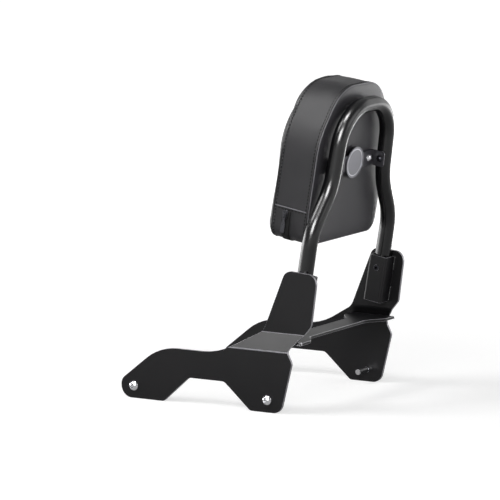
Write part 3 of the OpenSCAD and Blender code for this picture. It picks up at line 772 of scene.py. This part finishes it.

# %% [markdown]
# ## The stiff back
# The pad's back is a board with vinyl pulled tight over it and round its rim, where it meets the rear seam.
# It is the CAD solid's own profile with more points, so that its rolled rim reflects smoothly. A thin
# piping runs round the rim beside the seam, swept along a section of the pad; its pale vinyl is a painted
# highlight.

# %% Back shell and its piping
BACK_SECTIONS = [(19.5, 4.3), (16.0, 4.3), (15.7, 3.0), (15.6, 1.6), (15.45, 0.8), (15.15, 0.3)]
BACK_SECTIONS += [(14.8, 0.2), (14.5, 0.45), (14.3, 1.0), (14.15, 1.9), (14.0, 3.3), (13.84, 5.4)]
BACK_SECTIONS += [(13.68, 8.2), (13.56, 11.5), (13.5, 15.0), (13.5, 40.0), (13.5, 70.0)]
back_shell = ring_mesh("pad_back_shell", BACK_SECTIONS)
smooth(back_shell.data)
back_shell.data.materials.append(back_vinyl)
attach(back_shell, "root")
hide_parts("pad_board")

PIPING_OFF = 15.2
PIPING_INSET = 0.1
PIPING_R = 0.8
PIPING_SIDES = 12
piping_line = leaning(*section(PIPING_OFF, PIPING_INSET).T)
piping_line = np.vstack([piping_line, piping_line[:1]])
# The rear piping's pale vinyl is a painted highlight.
rear_piping = swept_along("rear_piping", piping_line, PIPING_R, PIPING_SIDES, piping_highlight_vinyl, False)
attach(rear_piping, "root")
print("rear piping faces:", len(rear_piping.data.polygons))

# %% [markdown]
# ## Stitches by Geometry Nodes
# A row of stitches is one short thread repeated along a line: a job for Geometry Nodes again. The tree
# turns the line into a curve, resamples it at the stitch pitch and puts a thread on each point along the
# curve, or along a fixed axis where one is given. The thread is a spindle, and each pair of its profile
# says how far along its length a ring of points lies and how much of the full width it has.

# %% The repeating tree
BEAD_PROFILE = [(-0.5, 0.35), (-0.38, 0.8), (-0.15, 1.0), (0.15, 1.0), (0.38, 0.8), (0.5, 0.35)]


def repeat_along(name, line, pitch_mm, piece, material, axis=None):
    """Repeats a small object along a polyline at an even pitch, as a plain mesh."""
    tree = bpy.data.node_groups.new(name + "_tree", "GeometryNodeTree")
    tree.interface.new_socket("Line", in_out="INPUT", socket_type="NodeSocketGeometry")
    pitch = tree.interface.new_socket("Pitch", in_out="INPUT", socket_type="NodeSocketFloat")
    shape = tree.interface.new_socket("Shape", in_out="INPUT", socket_type="NodeSocketObject")
    tree.interface.new_socket("Rows", in_out="OUTPUT", socket_type="NodeSocketGeometry")
    given = add_node(tree, "NodeGroupInput")
    curve = add_node(tree, "GeometryNodeMeshToCurve", {"Mesh": given.outputs["Line"]})
    even = add_node(tree, "GeometryNodeResampleCurve", {
        "Curve": curve.outputs["Curve"],
        "Length": given.outputs["Pitch"],
    }, mode="LENGTH")
    tangent = add_node(tree, "GeometryNodeInputTangent")
    along = tangent.outputs["Tangent"] if axis is None else tuple(axis)
    turn = add_node(tree, "FunctionNodeAlignRotationToVector", {"Vector": along}, axis="Z")
    shape_info = add_node(tree, "GeometryNodeObjectInfo", {"Object": given.outputs["Shape"]})
    copies = add_node(tree, "GeometryNodeInstanceOnPoints", {
        "Points": even.outputs["Curve"],
        "Instance": shape_info.outputs["Geometry"],
        "Rotation": turn.outputs["Rotation"],
    })
    real = add_node(tree, "GeometryNodeRealizeInstances", {"Geometry": copies.outputs["Instances"]})
    coated = add_node(tree, "GeometryNodeSetMaterial", {
        "Geometry": real.outputs["Geometry"],
        "Material": material,
    })
    add_node(tree, "NodeGroupOutput", {"Rows": coated.outputs["Geometry"]})
    return grown_on_line(name, line, tree, [(pitch, pitch_mm / 1000), (shape, piece)])


def bead(name, length_mm, width_mm, sides=8):
    """A closed spindle along Z: one stitch, tooth or weld puddle. It is a pattern, not shown itself."""
    bm = bmesh.new()
    made = []
    for t, r in BEAD_PROFILE:
        made.append([bm.verts.new((
            math.cos(a * 2 * math.pi / sides) * r * width_mm / 2000,
            math.sin(a * 2 * math.pi / sides) * r * width_mm / 2000,
            t * length_mm / 1000)) for a in range(sides)])
    for low, high in zip(made, made[1:]):
        for a in range(sides):
            b = (a + 1) % sides
            bm.faces.new((low[a], low[b], high[b], high[a]))
    bm.faces.new(list(reversed(made[0])))
    bm.faces.new(made[-1])
    mesh = bpy.data.meshes.new(name)
    bm.to_mesh(mesh)
    bm.free()
    return bpy.data.objects.new(name, mesh)


# %% [markdown]
# ## Where the stitches and welts lie
# The lines are read back from the swollen cover, so that the threads lie on it wherever the cloth went.
# Each line starts as a section of the pad, or a row of points just outside its side, and every point drops
# to the nearest place on the cover. A round welt fills the lower seam on each side; its pale vinyl is a
# painted highlight.

# %% Stitch rows and welts
STITCH_LONG = 3.2
STITCH_WIDE = 1.6
STITCH_PITCH = 5.0
FRONT_STITCH_OFF = FRONT_SEAM - 1.8
REAR_STITCH_OFF = 20.2
LOWER_STITCH_U = LOWER_SEAM_U - 2.6
LOWER_STITCH_OFFS = np.linspace(20, FRONT_SEAM - 1, 40)
BESIDE_PAD_X = 96
RING_LIFT = 0.2
LOWER_LIFT = 0.1
WELT_R = 0.9
WELT_SIDES = 12
WELT_LIFT = 0.2
WELT_OFFS = np.linspace(19.5, FRONT_SEAM - 0.5, 50)
surface = BVHTree.FromObject(cover, bpy.context.evaluated_depsgraph_get())


def on_cover(x, off, u, lift_mm):
    """Nearest point of the cover to a leaning-frame point, lifted along the surface's normal."""
    place, facing = surface.find_nearest(Vector(leaning(x, off, u)))[:2]
    return place + facing * lift_mm / 1000


def ring_line(off):
    """A closed line round the pad, laid on the cover."""
    line = [on_cover(*p, RING_LIFT) for p in section(off, 0)]
    return line + line[:1]


def side_line(side, u, offs, lift_mm):
    """A line along one side of the pad, laid on the cover."""
    return [on_cover(side * BESIDE_PAD_X, off, u, lift_mm) for off in offs]


stitch = bead("stitch_shape", STITCH_LONG, STITCH_WIDE)
rows = [
    repeat_along("front_seam_stitches", ring_line(FRONT_STITCH_OFF), STITCH_PITCH, stitch, sewing_thread),
    repeat_along("rear_seam_stitches", ring_line(REAR_STITCH_OFF), STITCH_PITCH, stitch, sewing_thread),
]
for side, side_name in SIDE_NAMES.items():
    line = side_line(side, LOWER_STITCH_U, LOWER_STITCH_OFFS, LOWER_LIFT)
    rows.append(repeat_along(side_name + "_lower_seam_stitches", line, STITCH_PITCH, stitch, sewing_thread))
    # The welt's pale vinyl is a painted highlight along the lower seam.
    line = side_line(side, LOWER_SEAM_U, WELT_OFFS, WELT_LIFT)
    rows.append(swept_along(side_name + "_lower_welt", line, WELT_R, WELT_SIDES, piping_highlight_vinyl, True))
for piece in rows:
    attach(piece, "root")
    print(piece.name, "faces:", len(piece.data.polygons))

# %% [markdown]
# ## The zip
# The zip closes the lower gusset, so that the cover can be drawn over the foam. Its tape is a woven band,
# whose middle lies a little proud of the cover and whose two edges lie on it. Its coil is a row of nylon
# teeth repeated along the tape's middle by the same tree as the stitches, with each tooth lying across.

# %% Tape and coil
ZIP_OFF = 50.0
ZIP_TOP_U = 163.0
TAPE_WIDE = 12.5
TAPE_THICK_M = 0.0006
TAPE_LIFTS = [0.1, 0.75, 0.75, 0.75, 0.75, 0.75, 0.1]
TAPE_ACROSS = np.array([-0.5, -0.46, -0.2, 0, 0.2, 0.46, 0.5]) * TAPE_WIDE
OUTSIDE = 1.03
TOOTH_LONG = 3.2
TOOTH_WIDE = 0.95
TOOTH_PITCH = 1.25
TURN_U = 200


def turn_about_pad(point):
    """Where a point stands round the lower pad, as an angle that grows from the bottom to either side."""
    return math.atan2(point[1] - TURN_U, abs(point[0]))


low_points = [p for p in outline if p[1] < ZIP_TOP_U - 1]
right_half = sorted([p for p in low_points if p[0] >= 0], key=turn_about_pad, reverse=True)
left_half = sorted([p for p in low_points if p[0] < 0], key=turn_about_pad)
right_end = np.array([PAD_HALF_X, ZIP_TOP_U])
left_end = np.array([-PAD_HALF_X, ZIP_TOP_U])
tape_rows = []
for x, u in [right_end] + right_half + left_half + [left_end]:
    outside_u = PAD_MID_U + (u - PAD_MID_U) * OUTSIDE
    tape_rows.append([
        on_cover(x * OUTSIDE, ZIP_OFF + across, outside_u, lift)
        for across, lift in zip(TAPE_ACROSS, TAPE_LIFTS)
    ])
wide = len(TAPE_ACROSS)
faces = [
    (i * wide + j, i * wide + j + 1, (i + 1) * wide + j + 1, (i + 1) * wide + j)
    for i in range(len(tape_rows) - 1) for j in range(wide - 1)
]
mesh = bpy.data.meshes.new("zip_tape_band")
mesh.from_pydata([tuple(p) for row in tape_rows for p in row], [], faces)
tape = placed("zip_tape_band", mesh)
tape.data.materials.append(tape_weave)
thick = tape.modifiers.new("thickness", "SOLIDIFY")
thick.thickness = TAPE_THICK_M
thick.offset = -1
smooth(mesh)
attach(tape, "root")
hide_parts("zip_tape")

tooth = bead("tooth_shape", TOOTH_LONG, TOOTH_WIDE)
middle = [row[wide // 2] for row in tape_rows]
coil = repeat_along("zip_coil", middle, TOOTH_PITCH, tooth, nylon_coil, axis=FORWARD)
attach(coil, "root")
print("zip teeth faces:", len(coil.data.polygons))

# %% [markdown]
# ## Weld beads
# The sleeves are welded to the tongues. A hand weld is a row of overlapping puddles, like coins pushed
# over, so it is one round puddle repeated along the corner of the joint, at a pitch shorter than its
# width, again by the tree.

# %% Welds
PUDDLE = 4.2
PUDDLE_SIDES = 10
PUDDLE_PITCH = 1.7
WELD_POINTS = 8
SLEEVE_HALF = 13.8
TONGUE_X = 118.0
OFF_CORNER = 0.2
WELD_RUNS = {"low": (17, 35), "high": (62, 79)}
puddle = bead("puddle_shape", PUDDLE, PUDDLE, sides=PUDDLE_SIDES)
for side, side_name in SIDE_NAMES.items():
    for edge, edge_name in ((-1, "rear"), (1, "front")):
        for run_name, (low, high) in WELD_RUNS.items():
            heights = np.linspace(low, high, WELD_POINTS)
            x = side * (TONGUE_X - OFF_CORNER)
            off = edge * (SLEEVE_HALF + OFF_CORNER)
            line = [leaning(x, off, u) for u in heights]
            name = "_".join([side_name, edge_name, run_name, "weld"])
            weld = repeat_along(name, line, PUDDLE_PITCH, puddle, plate_coat)
            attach(weld, "root")

# %% [markdown]
# ## Floor and backdrop
# The photograph has a pure white ground, but its gloss black is deep, as in a studio with one white wall
# and dark room behind the camera. So the floor and the world are white to the camera, and what a surface
# mirrors is another matter: full white towards the backdrop, dimmer behind the camera and overhead, and
# dimmest on the floor under the part. Each pair of numbers below is where such a change begins and ends, or
# the brightness at its two ends. The world lights the part only a little. The floor keeps the part's
# shadow, because only part of its white glows by itself.

# %% Floor and world
SKY = 0.25
BACKDROP = (0.857, 0.515, 0.0)
FLOOR_HALF_M = 30
NEAR_M = 0.4
FAR_M = 2.0
FLOOR_TO_CAMERA = (0.6, 0.95)
FLOOR_TO_MIRROR = (0.05, 0.85)
ROOM_TURN = (-0.5, 0.8)
ROOM_GLOW = (0.35, 1.0)
ABOVE_TURN = (0.05, 0.35)
ABOVE_GLOW = (1.0, 0.45)


def mirrored(tree, kind):
    """1 for rays that reach a surface by a reflection or through glass."""
    links = {0: kind.outputs["Is Glossy Ray"], 1: kind.outputs["Is Transmission Ray"]}
    return add_node(tree, "ShaderNodeMath", links, operation="MAXIMUM").outputs["Value"]


h = FLOOR_HALF_M
floor_mesh = bpy.data.meshes.new("floor")
floor_mesh.from_pydata([(-h, -h, 0), (h, -h, 0), (h, h, 0), (-h, h, 0)], [], [(0, 1, 2, 3)])
floor = placed("floor", floor_mesh)
white_floor, tree, shader, where = new_material(
    "white_studio_floor", "#b8b8b8", 0.9, Specular_IOR_Level=0.0)
shader.inputs["Emission Color"].default_value = linear("#ffffff")
kind = add_node(tree, "ShaderNodeLightPath")
away = add_node(tree, "ShaderNodeVectorMath", {0: where}, operation="LENGTH").outputs["Value"]
to_camera = ramp(tree, away, NEAR_M, FAR_M, *FLOOR_TO_CAMERA)
to_mirror = ramp(tree, away, NEAR_M, FAR_M, *FLOOR_TO_MIRROR)
seen = add_node(tree, "ShaderNodeMath", {
    0: kind.outputs["Is Camera Ray"], 1: to_camera}, operation="MULTIPLY").outputs["Value"]
glow = add_node(tree, "ShaderNodeMath", {
    0: mirrored(tree, kind), 1: to_mirror, 2: seen}, operation="MULTIPLY_ADD").outputs["Value"]
tree.links.new(glow, shader.inputs["Emission Strength"])
floor_mesh.materials.append(white_floor)

world = bpy.data.worlds.new("studio")
bpy.context.scene.world = world
world.use_nodes = True
tree = world.node_tree
soft = tree.nodes["Background"]
soft.inputs["Color"].default_value = linear("#ffffff")
soft.inputs["Strength"].default_value = SKY
kind = add_node(tree, "ShaderNodeLightPath")
gaze = add_node(tree, "ShaderNodeTexCoord").outputs["Generated"]
ahead = add_node(
    tree, "ShaderNodeVectorMath", {0: gaze, 1: BACKDROP}, operation="DOT_PRODUCT").outputs["Value"]
room = ramp(tree, ahead, *ROOM_TURN, *ROOM_GLOW)
height = add_node(tree, "ShaderNodeSeparateXYZ", {"Vector": gaze}).outputs["Z"]
above = ramp(tree, height, *ABOVE_TURN, *ABOVE_GLOW)
dimmed = add_node(tree, "ShaderNodeMath", {0: room, 1: above}, operation="MULTIPLY").outputs["Value"]
strength = add_node(tree, "ShaderNodeMath", {
    0: mirrored(tree, kind), 1: dimmed, 2: kind.outputs["Is Camera Ray"]}, operation="MULTIPLY_ADD")
white = add_node(tree, "ShaderNodeBackground", {
    "Color": linear("#ffffff"), "Strength": strength.outputs["Value"]})
seen = add_node(tree, "ShaderNodeMath", {
    0: kind.outputs["Is Camera Ray"], 1: mirrored(tree, kind)}, operation="MAXIMUM")
mix = add_node(tree, "ShaderNodeMixShader", {
    0: seen.outputs["Value"],
    1: soft.outputs["Background"],
    2: white.outputs["Background"],
})
tree.links.new(mix.outputs["Shader"], tree.nodes["World Output"].inputs["Surface"])

# %% [markdown]
# ## The lamps
# Large soft lamps light the object. Two bright ones, high on the left and overhead, show only in
# reflections: they draw the long streaks on the hoop and leave the leatherette dark. Others that show only
# in reflections grade the stiff back and draw the thin line down the near leg's right edge. The rest light
# the pad's top, the plates' slopes and the front band. Each lamp is given by its direction from the
# subject, its distance, width and height in metres, and how bright it is where white is 1.

# %% Lamps
SUBJECT = Vector((0, -0.03, 0.25))


def softbox(name, towards, distance, width, height, radiance, only_gloss=False):
    """A rectangular area lamp seen from the subject in one direction."""
    data = bpy.data.lights.new(name, "AREA")
    data.shape = "RECTANGLE"
    data.size = width
    data.size_y = height
    data.energy = radiance * math.pi * width * height
    lamp = placed(name, data)
    lamp.visible_camera = False
    lamp.visible_diffuse = not only_gloss
    back = Vector(towards).normalized()
    facing = back.to_track_quat("Z", "Y").to_matrix().to_4x4()
    lamp.matrix_world = Matrix.Translation(SUBJECT + back * distance) @ facing


softbox("left_strip_lamp", (-0.85, -0.32, 0.4), 2.4, 1.0, 1.0, 32, only_gloss=True)
softbox("overhead_strip_lamp", (-0.36, -0.1, 0.93), 2.3, 0.9, 0.7, 34, only_gloss=True)
softbox("left_soft_lamp", (-0.75, -0.3, 0.6), 2.6, 1.6, 1.4, 2)
softbox("high_front_lamp", (-0.48, 0.5, 0.72), 2.4, 0.95, 0.85, 13)
softbox("front_lamp", (-0.15, 0.98, 0.02), 2.4, 2.0, 0.8, 7.5)
softbox("rear_lamp", (0.15, -0.93, 0.33), 2.4, 1.8, 1.2, 2)
softbox("low_right_lamp", (0.86, -0.42, -0.1), 1.6, 1.6, 0.7, 2.4)
softbox("high_right_lamp", (0.8, -0.44, 0.4), 2.2, 1.4, 1.2, 1.2, only_gloss=True)
softbox("tube_edge_lamp", (0.975, -0.05, -0.13), 1.0, 0.45, 0.3, 8, only_gloss=True)

# %% [markdown]
# ## Closing
# The picture keeps plain sRGB tones.

# %% Render view and closing
bpy.context.scene.view_settings.view_transform = "Standard"
